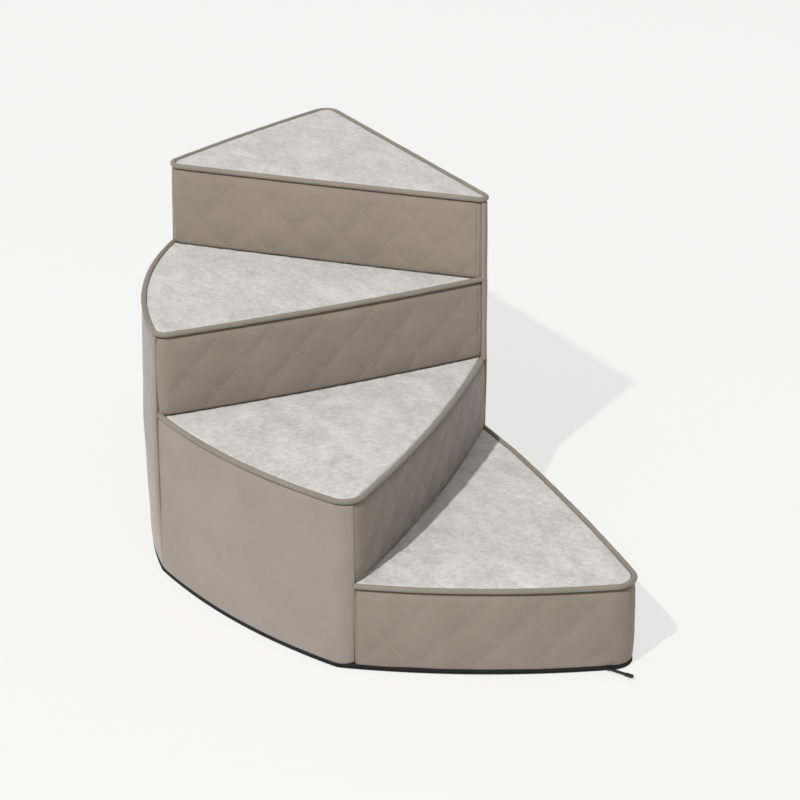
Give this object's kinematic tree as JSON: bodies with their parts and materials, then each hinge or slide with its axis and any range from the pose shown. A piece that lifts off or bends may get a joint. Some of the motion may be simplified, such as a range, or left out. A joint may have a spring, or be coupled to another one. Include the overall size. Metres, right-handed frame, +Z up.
{
  "type": "pet stairs",
  "caption": "Curved soft foam pet stairs: wedge treads of pale plush fan round one upright edge; quilted taupe risers, corded edges and a zip round the base.",
  "frame": {"origin": "on the floor face, on the centre line of the upright edge the steps fan round", "axes": "+Z up; +Y is the flat back that goes against a bed or sofa; +X towards step 1 and -X towards the top step, along the longest side; the curved side faces -Y"},
  "size_m": [1.0456, 0.5243, 0.5085],
  "materials": {
    "foam": "matte",
    "comfort_foam": "matte",
    "plush": "matte",
    "quilted_cover": "matte",
    "smooth_cover": "matte",
    "piping": "matte",
    "non_slip_cloth": "matte",
    "zip_tape": "matte",
    "zip_plastic": "satin",
    "zip_metal": "satin",
    "zip_pull": "satin"
  },
  "bodies": {
    "stairs": {"foam_layer_1": "foam", "comfort_pad_1": "comfort_foam", "tread_panel_1": "plush", "riser_panel_1": "quilted_cover", "piping_1": "piping", "foam_layer_2": "foam", "comfort_pad_2": "comfort_foam", "tread_panel_2": "plush", "riser_panel_2": "quilted_cover", "piping_2": "piping", "foam_layer_3": "foam", "comfort_pad_3": "comfort_foam", "tread_panel_3": "plush", "riser_panel_3": "quilted_cover", "piping_3": "piping", "foam_layer_4": "foam", "comfort_pad_4": "comfort_foam", "tread_panel_4": "plush", "riser_panel_4": "quilted_cover", "piping_4": "piping", "outer_wall_2": "smooth_cover", "outer_wall_3": "smooth_cover", "outer_wall_4": "smooth_cover", "side_panel": "smooth_cover", "back_panel": "smooth_cover", "bottom_panel": "non_slip_cloth", "base_band": "zip_tape", "zip_coil": "zip_plastic", "zip_stops": "zip_metal"},
    "slider": {"zip_slider": "zip_metal"},
    "pull": {"zip_pull": "zip_pull"}
  },
  "joints": [
    {"name": "zip_travel", "type": "hinge", "parent": "stairs", "child": "slider", "pos_m": [-0.53126, 0.307, 0], "axis": [0, 0, 1], "range_deg": [-18, 0]},
    {"name": "pull_swing", "type": "hinge", "parent": "slider", "child": "pull", "pos_m": [0.52759, -0.10457, 0.0053], "axis": [0, 0, 1], "range_deg": [-138, 41]}
  ]
}
